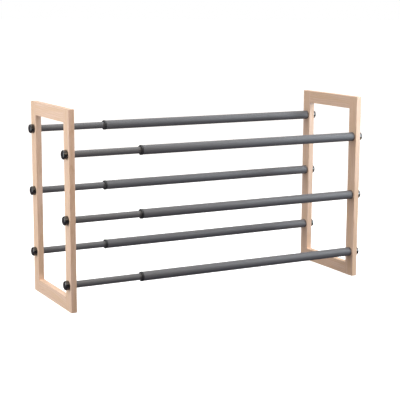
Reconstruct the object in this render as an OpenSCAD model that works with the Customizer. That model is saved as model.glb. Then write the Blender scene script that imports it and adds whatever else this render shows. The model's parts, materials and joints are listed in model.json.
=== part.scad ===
// Extending shoe rack: two wooden end frames joined by six telescopic steel rods in three tiers.
// X runs along the rods, Y from the front to the back, Z up. Origin: middle of the rack, on the floor.

/* [Rack] */
// Height of the end frames
rack_h = 460; // [440:5:520]
// Depth of the end frames, front to back
rack_d = 242; // [200:1:300]
// How far the rack is drawn out from its closed width
extension = 165; // [0:1:525]

/* [End frames] */
// Thickness of the boards
board_t = 14; // [12:0.5:20]
// Width of the stiles and of the rails
board_w = 31; // [28:0.5:36]
// Diameter of the dowels in the corner joints
dowel_d = 6; // [5:0.5:7]
// Length of the dowels
dowel_len = 30; // [20:1:36]
// Distance between the two dowels of a corner joint
dowel_gap = 16; // [12:0.5:18]

/* [Tiers] */
// Height of the lowest front rod above the floor
first_rod_z = 62; // [52:1:80]
// Height from one tier to the next
tier_pitch = 148.5; // [140:0.5:155]
// How much higher the back rod of a tier stands than its front rod
back_rise = 36.5; // [20:0.5:50]

/* [Rods] */
// Outside diameter of the outer tubes
outer_d = 22; // [20:0.5:24]
// Outside diameter of the inner tubes
inner_d = 16; // [14:0.5:17]
// Wall thickness of all the tubes
tube_wall = 0.8; // [0.6:0.1:1]
// Reach of an outer tube and its collar, from the right end frame's inner face
outer_reach = 591; // [590:1:700]
// Reach of an inner tube, from the left end frame's inner face
inner_reach = 563; // [560:1:565]
// How deep the tubes sit in the end frames
seat_depth = 3; // [2:0.5:5]
// Gap all round between the parts that slide in each other
slide_gap = 0.08; // [0.02:0.01:0.1]

/* [Collars and bushes] */
// Diameter of the collar's lip, at the open end of an outer tube
lip_d = 23.2; // [22.5:0.1:26]
// Length of the collar's lip
lip_len = 5; // [4:0.5:10]
// Length of the collar's spigot inside the outer tube
spigot_len = 18; // [12:1:30]
// Length of the bush on the hidden end of an inner tube
bush_len = 12; // [8:1:20]

/* [Fasteners] */
// Thread diameter of the screws
screw_d = 6; // [5:1:6]
// Length of the screws under their heads
screw_len = 30; // [24:1:32]
// Length of the threaded plugs in the tube ends
plug_len = 22; // [20:1:28]
// Diameter of the screw caps
cap_d = 21.6; // [18:0.1:24]
// How far the screw caps stand out from the end frames
cap_h = 10.8; // [9:0.1:14]

/* [Hidden] */
$fn = 96;

// Widths and places along X
closed_inside_w = outer_reach;
rack_w = closed_inside_w + extension + 2 * board_t;
left_face = -rack_w / 2;
right_face = rack_w / 2;
left_in = left_face + board_t;
right_in = right_face - board_t;
collar_x = left_in + extension;

// Radii
outer_bore_r = outer_d / 2 - tube_wall;
inner_bore_r = inner_d / 2 - tube_wall;
lip_bevel = 0.8;
seat_gap = 0.1;

// Screw, washer and cap
screw_hole_r = screw_d / 2 + 0.25;
thread_gap = 0.05;
head_d = 12;
head_h = 4.4;
socket_across = 4;
socket_depth = 2.6;
washer_d = 14;
washer_t = 1.2;
cap_round = 2.6;
cap_recess_gap = 0.3;
cap_crown_gap = 1;

// Bush at the hidden end of an inner tube
bush_wall = 2;
bush_boss_len = 8;
bush_boss_wall = 1.6;

// Dowels
dowel_tip = 1;

TIERS = ["bottom", "middle", "top"];
ROWS = ["front", "back"];
ENDS = ["left", "right"];
WOOD = [0.87, 0.72, 0.56];
PALE_WOOD = [0.80, 0.65, 0.48];
GREY_PAINT = [0.44, 0.44, 0.46];
BLACK_PLASTIC = [0.10, 0.10, 0.11];
ZINC = [0.75, 0.76, 0.78];

function rod_y(row) = (row == 0 ? -1 : 1) * (rack_d - board_w) / 2;
function rod_z(tier, row) = first_rod_z + tier * tier_pitch + row * back_rise;
function rod_part(tier, row, part) = str(TIERS[tier], "_", ROWS[row], "_", part);

FRAME_NODES = ["front_stile", "back_stile", "top_rail", "bottom_rail", "dowels", "screws", "washers", "tube_plugs"];
ROD_NODES = ["inner_tube", "tail_bush", "left_cap", "outer_tube", "collar", "right_cap"];

// Puts its children at one rod's axis, with their +Z along +X, starting at x
module along_rod(x, tier, row) {
    translate([x, rod_y(row), rod_z(tier, row)])
        rotate([0, 90, 0])
            children();
}

// Puts its children on the outer face of an end frame, with their +Z pointing outwards
module on_outer_face(end, tier, row) {
    translate([end == "left" ? left_face : right_face, rod_y(row), rod_z(tier, row)])
        rotate([0, end == "left" ? -90 : 90, 0])
            children();
}

module at_all_rods_of(end) {
    for (tier = [0:2]) {
        for (row = [0:1]) {
            on_outer_face(end, tier, row) children();
        }
    }
}

// The bore for a screw through a stile, and the seat for the tube behind it
module rod_seat(tube_d) {
    translate([0, 0, -board_t - 1]) cylinder(r = screw_hole_r, h = board_t + 2);
    translate([0, 0, -board_t - 1]) cylinder(d = tube_d + 2 * seat_gap, h = seat_depth + 1);
}

// The dowels of the two corner joints in one stile, or the holes for them
module dowels_of_stile(row) {
    joint_y = (row == 0 ? -1 : 1) * (rack_d / 2 - board_w);
    for (rail_z = [board_w / 2, rack_h - board_w / 2]) {
        for (step = [-0.5, 0.5]) {
            translate([0, joint_y, rail_z + step * dowel_gap]) rotate([90, 0, 0]) dowel();
        }
    }
}

module dowel() {
    rotate_extrude()
        polygon([
            [0, -dowel_len / 2],
            [dowel_d / 2 - dowel_tip, -dowel_len / 2],
            [dowel_d / 2, -dowel_len / 2 + dowel_tip],
            [dowel_d / 2, dowel_len / 2 - dowel_tip],
            [dowel_d / 2 - dowel_tip, dowel_len / 2],
            [0, dowel_len / 2]
        ]);
}

module frame_middle(end) {
    translate([(end == "left" ? left_face : right_in) + board_t / 2, 0, 0]) children();
}

module stile(end, row) {
    edge_y = row == 0 ? -rack_d / 2 : rack_d / 2 - board_w;
    color(WOOD)
        difference() {
            translate([end == "left" ? left_face : right_in, edge_y, 0]) cube([board_t, board_w, rack_h]);
            for (tier = [0:2]) {
                on_outer_face(end, tier, row) rod_seat(end == "left" ? inner_d : outer_d);
            }
            frame_middle(end) dowels_of_stile(row);
        }
}

module rail(end, bottom_z) {
    rail_len = rack_d - 2 * board_w;
    color(WOOD)
        difference() {
            translate([end == "left" ? left_face : right_in, -rail_len / 2, bottom_z])
                cube([board_t, rail_len, board_w]);
            frame_middle(end) dowels_of_stile(0);
            frame_middle(end) dowels_of_stile(1);
        }
}

module dowels(end) {
    color(PALE_WOOD)
        frame_middle(end) {
            dowels_of_stile(0);
            dowels_of_stile(1);
        }
}

// Six pan-head socket screws, each through a stile into a tube plug
module screws(end) {
    color(ZINC)
        at_all_rods_of(end)
            translate([0, 0, washer_t]) {
                difference() {
                    cylinder(d = head_d, h = head_h);
                    translate([0, 0, head_h - socket_depth])
                        cylinder(d = socket_across / cos(30), h = socket_depth + 1, $fn = 6);
                }
                translate([0, 0, -screw_len]) cylinder(r = screw_d / 2 - thread_gap, h = screw_len + 0.5);
            }
}

module washers(end) {
    color(ZINC)
        at_all_rods_of(end)
            difference() {
                cylinder(d = washer_d, h = washer_t);
                translate([0, 0, -1]) cylinder(r = screw_hole_r, h = washer_t + 2);
            }
}

// Plugs pressed into the ends of the tubes, with a threaded bore for the screws
module tube_plugs(end) {
    plug_r = end == "left" ? inner_bore_r : outer_bore_r;
    color(BLACK_PLASTIC)
        at_all_rods_of(end)
            translate([0, 0, -board_t + seat_depth - plug_len])
                difference() {
                    cylinder(r = plug_r, h = plug_len);
                    translate([0, 0, -1]) cylinder(d = screw_d, h = plug_len + 2);
                }
}

module tube(length, diameter) {
    color(GREY_PAINT)
        difference() {
            cylinder(d = diameter, h = length);
            translate([0, 0, -1]) cylinder(d = diameter - 2 * tube_wall, h = length + 2);
        }
}

module inner_tube(tier, row) {
    along_rod(left_in - seat_depth, tier, row) tube(seat_depth + inner_reach, inner_d);
}

module outer_tube(tier, row) {
    along_rod(collar_x + lip_len, tier, row) tube(outer_reach - lip_len + seat_depth, outer_d);
}

// Guide for the inner tube: a lip over the outer tube's open end, and a spigot inside it
module collar(tier, row) {
    bore_r = inner_d / 2 + slide_gap;
    lip_r = lip_d / 2;
    color(BLACK_PLASTIC)
        along_rod(collar_x, tier, row)
            rotate_extrude()
                polygon([
                    [bore_r, 0],
                    [lip_r - lip_bevel, 0],
                    [lip_r, lip_bevel],
                    [lip_r, lip_len],
                    [outer_bore_r, lip_len],
                    [outer_bore_r, lip_len + spigot_len],
                    [bore_r, lip_len + spigot_len]
                ]);
}

// Bush on the hidden end of the inner tube: it keeps the tube in the middle and stops it pulling out
module tail_bush(tier, row) {
    bush_r = outer_bore_r - slide_gap;
    tube_r = inner_d / 2;
    boss_r = inner_bore_r - bush_boss_wall;
    color(BLACK_PLASTIC)
        along_rod(left_in + inner_reach, tier, row)
            rotate_extrude()
                polygon([
                    [tube_r, -bush_len],
                    [bush_r, -bush_len],
                    [bush_r, bush_wall],
                    [boss_r, bush_wall],
                    [boss_r, -bush_boss_len],
                    [inner_bore_r, -bush_boss_len],
                    [inner_bore_r, 0],
                    [tube_r, 0]
                ]);
}

// Push-on cap over a screw head and its washer
module screw_cap(end, tier, row) {
    head_pocket = washer_t + head_h;
    color(BLACK_PLASTIC)
        on_outer_face(end, tier, row)
            difference() {
                rotate_extrude() cap_outline();
                translate([0, 0, -1]) cylinder(d = washer_d + cap_recess_gap, h = washer_t + 1);
                translate([0, 0, -1]) cylinder(d = head_d, h = head_pocket + cap_crown_gap + 1);
            }
}

module cap_outline() {
    square([cap_d / 2 - cap_round, cap_h]);
    square([cap_d / 2, cap_h - cap_round]);
    translate([cap_d / 2 - cap_round, cap_h - cap_round]) circle(r = cap_round);
}

for (end = ENDS) {
    stile(end, 0);
    stile(end, 1);
    rail(end, rack_h - board_w);
    rail(end, 0);
    dowels(end);
    screws(end);
    washers(end);
    tube_plugs(end);
}
for (tier = [0:2]) {
    for (row = [0:1]) {
        inner_tube(tier, row);
        tail_bush(tier, row);
        screw_cap("left", tier, row);
        outer_tube(tier, row);
        collar(tier, row);
        screw_cap("right", tier, row);
    }
}
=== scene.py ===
"""Looks for the extending shoe rack: lacquered wooden end frames, powder-coated telescopic tubes,
moulded plastic collars and caps, and a plain studio around them.

The boards are the CAD boards with their edges sanded round. The tubes, collars and caps are turned
here as smooth pieces, in the places where the CAD has them. The parts hidden inside keep their CAD
meshes and get materials. Metres, +Z up, X along the rods, front at -Y.
"""

import json
import math

import bmesh
import bpy
from mathutils import Euler, Matrix, Vector

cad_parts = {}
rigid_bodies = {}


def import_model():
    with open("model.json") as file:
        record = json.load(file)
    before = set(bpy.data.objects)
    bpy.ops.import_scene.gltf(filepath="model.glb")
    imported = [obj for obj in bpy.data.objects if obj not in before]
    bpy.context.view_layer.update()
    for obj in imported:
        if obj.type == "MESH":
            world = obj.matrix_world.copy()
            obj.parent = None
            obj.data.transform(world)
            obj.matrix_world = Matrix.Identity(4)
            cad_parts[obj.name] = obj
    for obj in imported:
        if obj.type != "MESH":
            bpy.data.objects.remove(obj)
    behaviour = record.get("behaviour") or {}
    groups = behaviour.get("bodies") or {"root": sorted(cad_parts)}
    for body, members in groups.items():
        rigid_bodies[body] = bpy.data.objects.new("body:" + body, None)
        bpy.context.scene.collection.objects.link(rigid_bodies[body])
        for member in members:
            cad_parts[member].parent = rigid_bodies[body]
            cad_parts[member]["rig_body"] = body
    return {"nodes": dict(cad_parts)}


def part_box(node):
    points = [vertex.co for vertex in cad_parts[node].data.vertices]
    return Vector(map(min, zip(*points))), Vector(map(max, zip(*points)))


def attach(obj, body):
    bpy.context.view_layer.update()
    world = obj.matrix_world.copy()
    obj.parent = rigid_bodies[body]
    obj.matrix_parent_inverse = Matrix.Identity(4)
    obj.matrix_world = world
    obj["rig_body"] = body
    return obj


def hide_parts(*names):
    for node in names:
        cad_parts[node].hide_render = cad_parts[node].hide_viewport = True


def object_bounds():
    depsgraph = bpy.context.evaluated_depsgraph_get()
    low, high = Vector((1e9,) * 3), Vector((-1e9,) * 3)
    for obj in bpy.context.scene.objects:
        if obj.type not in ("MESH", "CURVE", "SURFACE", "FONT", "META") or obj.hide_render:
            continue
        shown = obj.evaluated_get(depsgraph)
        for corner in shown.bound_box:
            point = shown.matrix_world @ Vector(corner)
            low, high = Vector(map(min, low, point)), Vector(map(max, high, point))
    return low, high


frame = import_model()
cad_low, cad_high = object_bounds()

MM = 0.001
ENDS = ("left", "right")
TIERS = ("bottom", "middle", "top")
ROWS = ("front", "back")
LEFT_BODY, RIGHT_BODY = "left_side", "right_side"


# ---------------------------------------------------------------- node helpers


class Graph:
    """A short way to write the nodes of a material or a world."""

    def __init__(self, owner):
        owner.use_nodes = True
        self.tree = owner.node_tree
        self.tree.nodes.clear()

    def node(self, kind, **inputs):
        """Adds a node. An input's name has _ for a space, and its value is a number, a colour or a socket."""
        made = self.tree.nodes.new(kind)
        for name, value in inputs.items():
            self.feed(made.inputs[name.replace("_", " ")], value)
        return made

    def feed(self, socket, value):
        if isinstance(value, bpy.types.NodeSocket):
            self.tree.links.new(value, socket)
        else:
            socket.default_value = value

    def math(self, operation, *values):
        made = self.tree.nodes.new("ShaderNodeMath")
        made.operation = operation
        for socket, value in zip(made.inputs, values):
            self.feed(socket, value)
        return made.outputs[0]

    def times(self, value, factor):
        return self.math("MULTIPLY", value, factor)

    def scaled(self, value, factor, offset):
        return self.math("MULTIPLY_ADD", value, factor, offset)

    def axes(self, vector):
        """The X, Y and Z of a vector."""
        return tuple(self.node("ShaderNodeSeparateXYZ", Vector=vector).outputs)

    def vector(self, x, y, z):
        return self.node("ShaderNodeCombineXYZ", X=x, Y=y, Z=z).outputs[0]

    def noise(self, vector, scale, detail=2.0, roughness=0.5):
        made = self.node(
            "ShaderNodeTexNoise", Vector=vector, Scale=scale, Detail=detail, Roughness=roughness
        )
        return made.outputs["Fac"]

    def ramp(self, value, *stops):
        """A ramp of greys. Each stop is (position, grey)."""
        made = self.node("ShaderNodeValToRGB", Fac=value)
        elements = made.color_ramp.elements
        while len(elements) < len(stops):
            elements.new(0.5)
        for element, (position, grey) in zip(elements, stops):
            element.position = position
            element.color = (grey, grey, grey, 1.0)
        return made.outputs["Color"]

    def mix(self, share, first, second):
        made = self.tree.nodes.new("ShaderNodeMix")
        made.data_type = "RGBA"
        self.feed(made.inputs["Factor"], share)
        self.feed(made.inputs["A"], rgba(first))
        self.feed(made.inputs["B"], rgba(second))
        return made.outputs["Result"]

    def step(self, value, start, end):
        """0 below start, 1 above end, and smooth between them."""
        made = self.node("ShaderNodeMapRange", Value=value, From_Min=start, From_Max=end)
        made.interpolation_type = "SMOOTHSTEP"
        return made.outputs["Result"]

    def bump(self, height, strength, depth_mm, below=None):
        """The normal of a relief that is depth_mm deep. below is the normal that it lies on."""
        made = self.node("ShaderNodeBump", Height=height, Strength=strength, Distance=depth_mm * MM)
        if below is not None:
            self.feed(made.inputs["Normal"], below)
        return made.outputs["Normal"]

    def surface(self, **inputs):
        shader = self.node("ShaderNodeBsdfPrincipled", **inputs)
        out = self.tree.nodes.new("ShaderNodeOutputMaterial")
        self.tree.links.new(shader.outputs["BSDF"], out.inputs["Surface"])


def rgba(value):
    return (*value, 1.0) if isinstance(value, tuple) else value


def blend(first, second, share):
    return tuple(a + (b - a) * share for a, b in zip(first, second))


def shade(colour, factor, lift=0.0):
    return tuple(c * factor + lift for c in colour)


def new_graph(name):
    material = bpy.data.materials.new(name)
    return material, Graph(material)


def place(g):
    """The point being shaded, where it is at rest, in millimetres."""
    coordinates = g.node("ShaderNodeTexCoord").outputs["Object"]
    scaled = g.node("ShaderNodeVectorMath", Vector=coordinates)
    scaled.operation = "SCALE"
    scaled.inputs["Scale"].default_value = 1 / MM
    return scaled.outputs[0]


def edge_mask(g, radius_mm):
    """1 on edges and corners, 0 on open faces."""
    bevel = g.tree.nodes.new("ShaderNodeBevel")
    bevel.samples = 4
    bevel.inputs["Radius"].default_value = radius_mm * MM
    turn = g.node("ShaderNodeVectorMath", Vector=bevel.outputs[0])
    turn.operation = "DOT_PRODUCT"
    normal = g.node("ShaderNodeNewGeometry").outputs["Normal"]
    g.feed(turn.inputs[1], normal)
    return g.ramp(turn.outputs["Value"], (0.80, 1.0), (0.97, 0.0))


# ---------------------------------------------------------------- wood

# Linear colours
WOOD_PINK = (0.94, 0.685, 0.56)
WOOD_TAN = (0.87, 0.595, 0.385)
WOOD_LATE = (0.73, 0.475, 0.30)
WOOD_PORE = (0.50, 0.285, 0.16)
# The most that late wood, fibres, pores and worn edges darken the wood
LATE_SHARE, FIBRE_SHARE, PORE_SHARE, WORN_SHARE = 0.62, 0.40, 0.35, 0.25
# Noise scales per millimetre across the grain, and the share of each that is left along it
FIBRE_SCALE, PORE_SCALE, FIBRE_ALONG = 1.5, 3.4, 0.018
STREAK_SCALE, STREAK_ALONG = 0.16, 0.05
CLOUD_SCALE, CLOUD_ALONG = 0.05, 0.2
# Millimetres from the origin to the pith across the grain: the least, steps between boards, and drift
PITH_NEAREST, PITH_STEP, PITH_DRIFT = 14.0, 6.0, 34.0
# Millimetres from the origin to the pith along X, and the share of that distance's square in a ring's
PITH_X, PITH_FLATNESS = 420.0, 0.004
# The drift's noise scale per millimetre, the rings' wander in millimetres, and rings per millimetre
DRIFT_SCALE, RING_WANDER, RINGS_PER_MM = 0.004, 13.0, 0.21
# Millimetres along the tree from one board to the next, and how far the wear reaches from an edge
TREE_STEP = 137.0
WORN_EDGE = 1.2


def wood_material(name, along, seed):
    """Pale lacquered wood. along is the axis that the grain follows, and seed picks the piece of tree."""
    material, g = new_graph(name)
    x, y, z = g.axes(place(g))
    length, width = (z, y) if along == "Z" else (y, z)
    length = g.math("ADD", length, TREE_STEP * seed)

    late = growth_rings(g, length, width, x, seed)
    fibres = drawn_out(g, length, width, x, FIBRE_ALONG)
    fibre = g.noise(fibres, FIBRE_SCALE, 5.0, 0.62)
    pores = g.ramp(g.noise(fibres, PORE_SCALE), (0.30, 1.0), (0.40, 0.0))
    streak = g.noise(drawn_out(g, length, width, x, STREAK_ALONG), STREAK_SCALE, 3.0, 0.6)
    cloud = g.noise(drawn_out(g, length, width, x, CLOUD_ALONG), CLOUD_SCALE)

    # Each board is from another part of the tree, so its own tone lies between pink and tan
    own = (0.37 * seed) % 1.0
    tone = blend(WOOD_PINK, WOOD_TAN, 0.35 * own)
    tone = g.mix(g.ramp(streak, (0.38, 0.0), (0.60, 0.85)), tone, WOOD_TAN)
    tone = g.mix(g.ramp(cloud, (0.40, 0.0), (0.65, 0.45)), tone, WOOD_PINK)
    tone = g.mix(g.times(late, LATE_SHARE), tone, WOOD_LATE)
    tone = g.mix(g.ramp(fibre, (0.38, 0.0), (0.70, FIBRE_SHARE)), tone, WOOD_LATE)
    tone = g.mix(g.times(pores, PORE_SHARE), tone, WOOD_PORE)
    # Hands rub the lacquer thin along the edges, which darkens them a little
    tone = g.mix(g.times(edge_mask(g, WORN_EDGE), WORN_SHARE), tone, WOOD_PORE)

    # Fibres and late wood stand proud, and pores are sunk
    relief = g.math("ADD", g.times(fibre, 0.6), g.times(late, 0.25))
    relief = g.math("SUBTRACT", relief, g.times(pores, 0.5))
    g.surface(
        Base_Color=tone,
        Roughness=g.scaled(fibre, 0.22, 0.34),
        Normal=g.bump(relief, 0.35, 0.12),
        Coat_Weight=0.25,
        Coat_Roughness=0.32,
        IOR=1.48,
    )
    return material


def growth_rings(g, length, width, depth, seed):
    """The dark late wood of rings round a pith that lies beside the board and drifts along it."""
    drift = g.noise(g.vector(g.times(length, DRIFT_SCALE), TREE_STEP * seed, 0.0), 1.0, 1.0)
    pith = g.scaled(drift, PITH_DRIFT, PITH_NEAREST + PITH_STEP * (seed % 3))
    wander = g.noise(drawn_out(g, length, width, depth, CLOUD_ALONG), CLOUD_SCALE, 3.0)
    across = g.math("ADD", g.math("ADD", width, pith), g.times(wander, RING_WANDER))
    deep = g.math("ADD", depth, PITH_X if seed % 2 else -PITH_X)
    flattened = g.times(g.times(deep, deep), PITH_FLATNESS)
    radius = g.math("SQRT", g.math("ADD", g.times(across, across), flattened))
    ring = g.math("FRACT", g.times(radius, RINGS_PER_MM))
    # A ring darkens slowly from its early wood to its late wood, and the next one starts pale
    return g.ramp(ring, (0.0, 0.0), (0.55, 0.22), (0.86, 1.0), (1.0, 0.0))


def drawn_out(g, length, width, depth, along):
    """A point whose noise is stretched along the grain."""
    return g.vector(g.times(length, along), width, depth)


# ---------------------------------------------------------------- paint, plastic and zinc

# Noise scales per millimetre, and the share of each that is left along the tube
PEEL_SCALE, SPECKLE_SCALE = 1.1, 3.2
MOTTLE_SCALE, MOTTLE_ALONG = 0.25, 0.01
RUB_SCALE, RUB_ALONG = 1.6, 0.012
TEXTURE_SCALE, BLOOM_SCALE = 2.6, 0.12
MARK_SCALE, MARK_ALONG = 2.4, 0.17
SPANGLE_SCALE = 0.8
# Linear colours
OUTER_GREY, INNER_GREY = (0.138, 0.137, 0.146), (0.148, 0.147, 0.154)
COLLAR_GREY, BUSH_GREY = (0.022, 0.022, 0.024), (0.045, 0.045, 0.050)
CAP_BLACK = (0.003, 0.0022, 0.0018)
ZINC_DULL, ZINC_BRIGHT = (0.52, 0.53, 0.55), (0.72, 0.73, 0.75)


def paint_material(name, colour, rubbed):
    """Satin powder coat on steel tube. rubbed is how much the sliding collar has polished it."""
    material, g = new_graph(name)
    point = place(g)
    x, y, z = g.axes(point)
    peel = g.noise(point, PEEL_SCALE, 3.0, 0.55)
    speckle = g.noise(point, SPECKLE_SCALE, 2.0, 0.6)
    mottle = g.noise(g.vector(g.times(x, MOTTLE_ALONG), y, z), MOTTLE_SCALE)
    streak = g.noise(g.vector(g.times(x, RUB_ALONG), y, z), RUB_SCALE, 4.0, 0.65)
    rub = g.times(g.ramp(streak, (0.52, 0.0), (0.66, 1.0)), rubbed)

    lighter, darker = shade(colour, 1.25), shade(colour, 0.86)
    tone = g.mix(g.ramp(mottle, (0.30, 0.0), (0.70, 1.0)), darker, colour)
    tone = g.mix(g.ramp(speckle, (0.55, 0.0), (0.75, 0.5)), tone, lighter)
    tone = g.mix(g.times(rub, 0.45), tone, lighter)
    rough = g.math("SUBTRACT", g.scaled(speckle, 0.12, 0.50), g.times(rub, 0.12))
    normal = g.bump(peel, 0.30, 0.05)
    normal = g.bump(streak, 0.12 * rubbed, 0.02, normal)
    g.surface(
        Base_Color=tone,
        Roughness=rough,
        Normal=normal,
        Metallic=0.1,
        Coat_Weight=0.06,
        Coat_Roughness=0.45,
    )
    return material


def plastic_material(name, colour, smoothest, scratches, grain_mm, ior=1.5):
    """Moulded plastic. smoothest is its lowest roughness, and scratches is what its marks add to that."""
    material, g = new_graph(name)
    point = place(g)
    x, y, z = g.axes(point)
    texture = g.noise(point, TEXTURE_SCALE, 4.0, 0.6)
    bloom = g.noise(point, BLOOM_SCALE)
    marks = g.noise(g.vector(g.times(x, MARK_ALONG), y, z), MARK_SCALE, 3.0)

    # The lighter colour for the edges: partly scuffed plastic, partly a painted highlight along the rims
    lighter, scuffed_and_highlit = shade(colour, 1.5, 0.001), shade(colour, 2.2, 0.004)
    tone = g.mix(g.ramp(bloom, (0.35, 0.0), (0.7, 0.6)), colour, lighter)
    # Edges and corners are lightened: partly scuff wear, partly a painted highlight on the rims
    tone = g.mix(g.times(edge_mask(g, 0.5), 0.25), tone, scuffed_and_highlit)
    rough = g.scaled(g.ramp(marks, (0.45, 0.0), (0.70, 1.0)), scratches, smoothest)
    g.surface(Base_Color=tone, Roughness=rough, Normal=g.bump(texture, 0.4, grain_mm), IOR=ior)
    return material


def zinc_material():
    material, g = new_graph("zinc_plate")
    spangle = g.noise(place(g), SPANGLE_SCALE, 4.0, 0.6)
    tone = g.mix(g.ramp(spangle, (0.35, 0.0), (0.65, 1.0)), ZINC_DULL, ZINC_BRIGHT)
    rough = g.scaled(spangle, 0.2, 0.22)
    g.surface(Base_Color=tone, Roughness=rough, Metallic=1.0, Normal=g.bump(spangle, 0.2, 0.03))
    return material


dowel_wood = wood_material("dowel_wood", "Y", 11)
outer_paint = paint_material("outer_tube_paint", OUTER_GREY, 0.3)
inner_paint = paint_material("inner_tube_paint", INNER_GREY, 1.0)
collar_plastic = plastic_material("collar_plastic", COLLAR_GREY, 0.36, 0.16, 0.05)
bush_plastic = plastic_material("bush_plastic", BUSH_GREY, 0.42, 0.10, 0.05)
cap_plastic = plastic_material("cap_plastic", CAP_BLACK, 0.15, 0.10, 0.012, 1.8)
zinc = zinc_material()


# ---------------------------------------------------------------- mesh helpers

# Steps round a turned piece, and the angle from which a corner stays sharp
TURNS, CAP_TURNS = 72, 64
SHARP_DEGREES = 38.0


def turned(name, body, node, origin, outline, material, turns=TURNS, outwards=1.0):
    """A piece turned about a line along X through origin. outline is (x, radius) points in millimetres
    from origin, in order round the section, and it closes on itself. With outwards -1, x runs to the left."""
    bm = bmesh.new()
    rings = []
    for step in range(turns):
        angle = math.tau * step / turns
        ring = []
        for along, radius in outline:
            x = origin.x + outwards * along * MM
            y = origin.y + radius * MM * math.cos(angle)
            z = origin.z + radius * MM * math.sin(angle)
            ring.append(bm.verts.new((x, y, z)))
        rings.append(ring)
    count = len(outline)
    for step in range(turns):
        here, there = rings[step], rings[(step + 1) % turns]
        for i in range(count):
            j = (i + 1) % count
            if outline[i][1] == 0 and outline[j][1] == 0:
                continue
            bm.faces.new((here[i], here[j], there[j], there[i]))
    bmesh.ops.remove_doubles(bm, verts=bm.verts, dist=0.0001 * MM)
    bmesh.ops.recalc_face_normals(bm, faces=bm.faces)
    finish_piece(bm, name, body, node, material)


def finish_piece(bm, name, body, node, material):
    """Turns a bmesh into a smooth piece that rides on a body and stands for a CAD node."""
    soften(bm)
    mesh = bpy.data.meshes.new(name)
    bm.to_mesh(mesh)
    bm.free()
    mesh.materials.append(material)
    piece = bpy.data.objects.new(name, mesh)
    bpy.context.scene.collection.objects.link(piece)
    even = piece.modifiers.new("even_normals", "WEIGHTED_NORMAL")
    even.keep_sharp = True
    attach(piece, body)
    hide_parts(node)


def soften(bm):
    """Smooth shading, with the real corners kept sharp."""
    limit = math.radians(SHARP_DEGREES)
    for face in bm.faces:
        face.smooth = True
    for edge in bm.edges:
        edge.smooth = len(edge.link_faces) == 2 and edge.calc_face_angle() < limit


def rounded(corners, steps=5):
    """An outline from corners (x, radius, rounding), with each corner rounded by that much."""
    points = []
    for i, (x, r, rounding) in enumerate(corners):
        here = Vector((x, r))
        if not rounding:
            points.append((x, r))
            continue
        before = Vector(corners[i - 1][:2]) - here
        after = Vector(corners[(i + 1) % len(corners)][:2]) - here
        start = here + before.normalized() * rounding
        end = here + after.normalized() * rounding
        for k in range(steps + 1):
            t = k / steps
            point = (1 - t) ** 2 * start + 2 * t * (1 - t) * here + t**2 * end
            points.append((point.x, point.y))
    return points


def axis_point(low, high, x):
    """The point at x on the line along X through the middle of a box."""
    return Vector((x, (low.y + high.y) / 2, (low.z + high.z) / 2))


def half_height(node):
    """Half the height of a node's box in millimetres, which is the radius of a round part."""
    low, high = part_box(node)
    return (high.z - low.z) / 2 / MM


# ---------------------------------------------------------------- boards and hidden parts

# The boards of an end frame, and the axis that the grain of each follows
BOARDS = (("front_stile", "Z"), ("back_stile", "Z"), ("top_rail", "Y"), ("bottom_rail", "Y"))
RAIL_END_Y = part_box("left_top_rail")[1].y
# Rounding in millimetres and its segments: rims of holes, edges where boards meet, and open edges
RIM_EASE, JOINT_EASE, OPEN_EASE = (0.3, 2), (0.35, 2), (1.3, 4)
RIM_DEGREES = 60.0


def make_boards():
    boards = [(f"{end}_{part}", along) for end in ENDS for part, along in BOARDS]
    for seed, (node, along) in enumerate(boards, 1):
        eased_board(node, wood_material(node + "_wood", along, seed))


def eased_board(node, material):
    """The CAD board with its edges sanded round and the rims of its holes eased."""
    bm = bmesh.new()
    bm.from_mesh(frame["nodes"][node].data)
    bmesh.ops.remove_doubles(bm, verts=bm.verts, dist=0.001 * MM)
    bmesh.ops.dissolve_limit(bm, angle_limit=math.radians(0.5), verts=bm.verts, edges=bm.edges)
    low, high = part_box(node)
    open_edges, joints, rims = [], [], []
    for edge in bm.edges:
        first, second = (vert.co for vert in edge.verts)
        sides = shared_sides(first, second, low, high)
        if len(sides) == 2:
            meets_board = "y" in sides and abs(abs(first.y) - RAIL_END_Y) < 0.1 * MM
            (joints if meets_board else open_edges).append(edge)
        elif sides == ["x"] and edge.calc_face_angle(0.0) > math.radians(RIM_DEGREES):
            rims.append(edge)
    for edges, (width, segments) in ((rims, RIM_EASE), (joints, JOINT_EASE), (open_edges, OPEN_EASE)):
        bmesh.ops.bevel(
            bm,
            geom=[edge for edge in edges if edge.is_valid],
            offset=width * MM,
            offset_type="OFFSET",
            segments=segments,
            profile=0.5,
            affect="EDGES",
            clamp_overlap=False,
        )
    finish_piece(bm, node + "_eased", frame["nodes"][node]["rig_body"], node, material)


def shared_sides(first, second, low, high):
    """The axes along which both ends of an edge lie on the same side of the board's box."""
    found = []
    for axis in "xyz":
        a, b = getattr(first, axis), getattr(second, axis)
        for side in (getattr(low, axis), getattr(high, axis)):
            if abs(a - side) < 0.01 * MM and abs(b - side) < 0.01 * MM:
                found.append(axis)
    return found


def dress_hidden_parts():
    hidden = (("dowels", dowel_wood), ("screws", zinc), ("washers", zinc), ("tube_plugs", bush_plastic))
    for end in ENDS:
        for part, material in hidden:
            repaint(f"{end}_{part}", material)
    for tier in TIERS:
        for row in ROWS:
            repaint(f"{tier}_{row}_tail_bush", bush_plastic)


def repaint(node, material):
    mesh = frame["nodes"][node].data
    mesh.materials.clear()
    mesh.materials.append(material)


# ---------------------------------------------------------------- tubes, collars and caps

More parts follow.
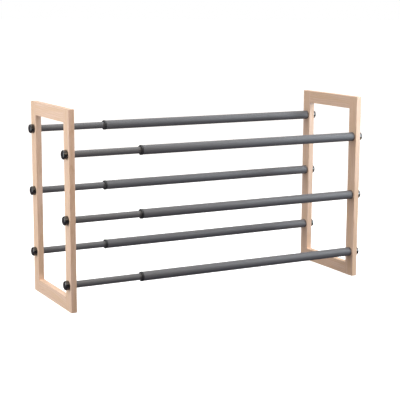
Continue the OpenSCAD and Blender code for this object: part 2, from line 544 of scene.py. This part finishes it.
# Millimetres. An edge is how far its corner is rounded.
TUBE_WALL, TUBE_EDGE = 0.8, 0.35
LIP_LEN, LIP_EDGE, LIP_INNER_EDGE = 5.0, 1.0, 0.3
MOUTH_FLARE, SPIGOT_EDGE = 0.8, 0.4
SLIDE_GAP = 0.08
HEAD_POCKET, HEAD_RADIUS = 6.6, 6.0
WASHER_POCKET, WASHER_RADIUS = 1.2, 7.15
CAP_ROUND, CAP_EDGE, CAP_CROWN, CAP_DRAFT = 3.6, 0.5, 0.35, 0.15
DOME_RADII = (6.2, 5.0, 3.6, 2.3, 1.1)
GATE_DEPTH, GATE_RADIUS = 0.15, 0.9


def make_tube(node, body, material):
    low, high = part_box(node)
    length = (high.x - low.x) / MM
    radius = half_height(node)
    bore = radius - TUBE_WALL
    outline = rounded(
        [
            (0.0, bore, 0.0),
            (0.0, radius, TUBE_EDGE),
            (length, radius, TUBE_EDGE),
            (length, bore, 0.0),
        ]
    )
    origin = axis_point(low, high, low.x)
    turned(node + "_coated", body, node, origin, outline, material)


def make_collar(node, body):
    """A guide with a lip outside the outer tube, a spigot inside it and a flared mouth for the inner tube."""
    low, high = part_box(node)
    length = (high.x - low.x) / MM
    lip = half_height(node)
    bore = half_height(node.replace("_collar", "_inner_tube")) + SLIDE_GAP
    spigot = half_height(node.replace("_collar", "_outer_tube")) - TUBE_WALL
    outline = rounded(
        [
            (MOUTH_FLARE, bore, 0.0),
            (0.0, bore + MOUTH_FLARE, LIP_INNER_EDGE),
            (0.0, lip, LIP_EDGE),
            (LIP_LEN, lip, LIP_INNER_EDGE),
            (LIP_LEN, spigot, 0.0),
            (length, spigot, SPIGOT_EDGE),
            (length, bore, 0.0),
        ]
    )
    origin = axis_point(low, high, low.x)
    turned(node + "_moulded", body, node, origin, outline, collar_plastic)


def make_cap(node, body, outwards):
    """A push-on cap: washer recess and head pocket inside, round rim and slightly domed face outside."""
    low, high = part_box(node)
    height = (high.x - low.x) / MM
    radius = half_height(node)
    dome_radius = radius - CAP_ROUND
    dome = [(height - CAP_CROWN * (r / dome_radius) ** 2, r, 0.0) for r in DOME_RADII]
    outline = rounded(
        [
            (HEAD_POCKET, 0.0, 0.0),
            (HEAD_POCKET, HEAD_RADIUS, 0.0),
            (WASHER_POCKET, HEAD_RADIUS, 0.0),
            (WASHER_POCKET, WASHER_RADIUS, 0.0),
            (0.0, WASHER_RADIUS, 0.0),
            (0.0, radius, CAP_EDGE),
            (height - CAP_CROWN, radius - CAP_DRAFT, CAP_ROUND),
            *dome,
            (height - GATE_DEPTH, GATE_RADIUS, 0.0),
            (height - GATE_DEPTH, 0.0, 0.0),
        ],
        steps=8,
    )
    origin = axis_point(low, high, low.x if outwards > 0 else high.x)
    name = node + "_moulded"
    turned(name, body, node, origin, outline, cap_plastic, CAP_TURNS, outwards)


def make_rods():
    for tier in TIERS:
        for row in ROWS:
            rod = f"{tier}_{row}"
            make_tube(rod + "_inner_tube", LEFT_BODY, inner_paint)
            make_tube(rod + "_outer_tube", RIGHT_BODY, outer_paint)
            make_collar(rod + "_collar", RIGHT_BODY)
            make_cap(rod + "_left_cap", LEFT_BODY, -1.0)
            make_cap(rod + "_right_cap", RIGHT_BODY, 1.0)


# ---------------------------------------------------------------- studio

# Metres, degrees and watts
MIDDLE = (cad_low + cad_high) / 2
LEFT_END = Vector((cad_low.x, 0.0, MIDDLE.z))
RIGHT_END = Vector((cad_high.x, 0.0, MIDDLE.z))
FLOOR_REACH = 40.0
FLOOR_PALENESS, FLOOR_GLOW = 0.90, 0.55

# The air's light by direction from the rack. FROM, TO and REACH are the direction's height or depth,
# from -1 to 1, between which one light turns into the next.
CEILING_LIGHT, CEILING_FROM, CEILING_TO = (1.00, 0.92, 0.84), 0.35, 0.80
LOW_LIGHT, LOW_FROM, LOW_TO = (0.18, 0.17, 0.20), -0.12, -0.02
FRONT_LIGHT, BACK_LIGHT, SIDE_REACH = (0.07, 0.08, 0.09), (0.24, 0.26, 0.29), 0.3

PLAIN, COOL, WARM = (0.95, 1.0, 1.0), (0.85, 0.94, 1.0), (1.0, 0.78, 0.56)
# Each is a name, the point it aims at, its place from that point, width, height, watts and colour
SOFTBOXES = (
    ("left_softbox", LEFT_END, (-0.77, 0.04, 0.13), 0.6, 0.7, 6.2, PLAIN),
    ("front_left_softbox", LEFT_END, (0.10, -0.80, 0.57), 0.4, 0.4, 1.4, WARM),
    ("front_high_softbox", RIGHT_END, (0.35, -0.60, 0.67), 0.5, 0.5, 5.6, COOL),
    ("front_low_softbox", RIGHT_END, (0.55, -0.85, 0.19), 0.32, 0.42, 4.8, COOL),
    ("overhead_softbox", MIDDLE, (0.0, 0.0, 1.47), 1.8, 0.8, 11.5, COOL),
    ("back_softbox", MIDDLE, (0.2, 1.4, 1.17), 1.8, 0.8, 4.5, PLAIN),
)

CAMERA_AIM = MIDDLE + Vector((-0.0023, -0.0028, -0.02))
CAMERA_DISTANCE = 2.7724
CAMERA_AZIMUTH, CAMERA_DOWN, CAMERA_ROLL = 28.05, 10.08, 0.26
CAMERA_LENS_MM, SENSOR_MM = 100.9, 36.0


def make_floor():
    """A plain pale floor. It throws no light back up onto the rods' dark undersides."""
    bm = bmesh.new()
    bmesh.ops.create_grid(bm, x_segments=8, y_segments=8, size=FLOOR_REACH)
    floor = stage_piece("floor", bm, FLOOR_PALENESS, FLOOR_GLOW)
    floor.visible_diffuse = False
    floor.visible_glossy = False


def make_backdrop():
    """A plain white wall all round, seen by the camera alone, so that it doesn't light the rack."""
    bm = bmesh.new()
    bmesh.ops.create_icosphere(bm, subdivisions=4, radius=0.95 * FLOOR_REACH)
    backdrop = stage_piece("backdrop", bm, 0.0, 1.0)
    for unseen in ("visible_diffuse", "visible_glossy", "visible_transmission", "visible_shadow"):
        setattr(backdrop, unseen, False)


def stage_piece(name, bm, paleness, glow):
    mesh = bpy.data.meshes.new(name)
    bm.to_mesh(mesh)
    bm.free()
    piece = bpy.data.objects.new(name, mesh)
    bpy.context.scene.collection.objects.link(piece)
    material, g = new_graph(name + "_white")
    g.surface(
        Base_Color=(paleness, paleness, paleness, 1.0),
        Roughness=0.9,
        Specular_IOR_Level=0.0,
        Emission_Color=(1.0, 1.0, 1.0, 1.0),
        Emission_Strength=glow,
    )
    mesh.materials.append(material)
    return piece


def make_world():
    """A pale studio: brightest overhead, plain behind the rack, dim in front of it and below."""
    world = bpy.data.worlds.new("studio")
    bpy.context.scene.world = world
    g = Graph(world)
    _, backwards, upwards = g.axes(g.node("ShaderNodeTexCoord").outputs["Generated"])
    overhead = g.step(upwards, CEILING_FROM, CEILING_TO)
    below = g.math("SUBTRACT", 1.0, g.step(upwards, LOW_FROM, LOW_TO))
    behind = g.step(backwards, -SIDE_REACH, SIDE_REACH)
    colour = g.mix(behind, FRONT_LIGHT, BACK_LIGHT)
    colour = g.mix(overhead, colour, CEILING_LIGHT)
    colour = g.mix(below, colour, LOW_LIGHT)
    back = g.node("ShaderNodeBackground", Color=colour)
    out = g.tree.nodes.new("ShaderNodeOutputWorld")
    g.tree.links.new(back.outputs[0], out.inputs["Surface"])


def make_softbox(name, aim, offset, width, height, power, colour):
    light = bpy.data.lights.new(name, "AREA")
    light.shape = "RECTANGLE"
    light.size = width
    light.size_y = height
    light.energy = power
    light.color = colour
    lamp = bpy.data.objects.new(name, light)
    bpy.context.scene.collection.objects.link(lamp)
    lamp.visible_camera = False
    lamp.location = aim + Vector(offset)
    lamp.rotation_euler = (-Vector(offset)).to_track_quat("-Z", "Y").to_euler()


def make_camera():
    """The camera stands left of the front, looks down a little, and leans by a fraction of a degree."""
    camera = bpy.data.cameras.new("camera")
    camera.sensor_width = SENSOR_MM
    camera.lens = CAMERA_LENS_MM
    camera.clip_end = 5 * FLOOR_REACH
    seen = bpy.data.objects.new("camera", camera)
    bpy.context.scene.collection.objects.link(seen)
    turn = Euler((math.radians(90 - CAMERA_DOWN), 0.0, math.radians(-CAMERA_AZIMUTH)), "XYZ").to_matrix()
    turn = turn @ Matrix.Rotation(math.radians(CAMERA_ROLL), 3, "Z")
    place_at = CAMERA_AIM + turn @ Vector((0.0, 0.0, CAMERA_DISTANCE))
    seen.matrix_world = Matrix.Translation(place_at) @ turn.to_4x4()
    bpy.context.scene.camera = seen
    bpy.context.scene.view_settings.view_transform = "Standard"


make_boards()
dress_hidden_parts()
make_rods()
make_floor()
make_backdrop()
make_world()
for softbox in SOFTBOXES:
    make_softbox(*softbox)
make_camera()
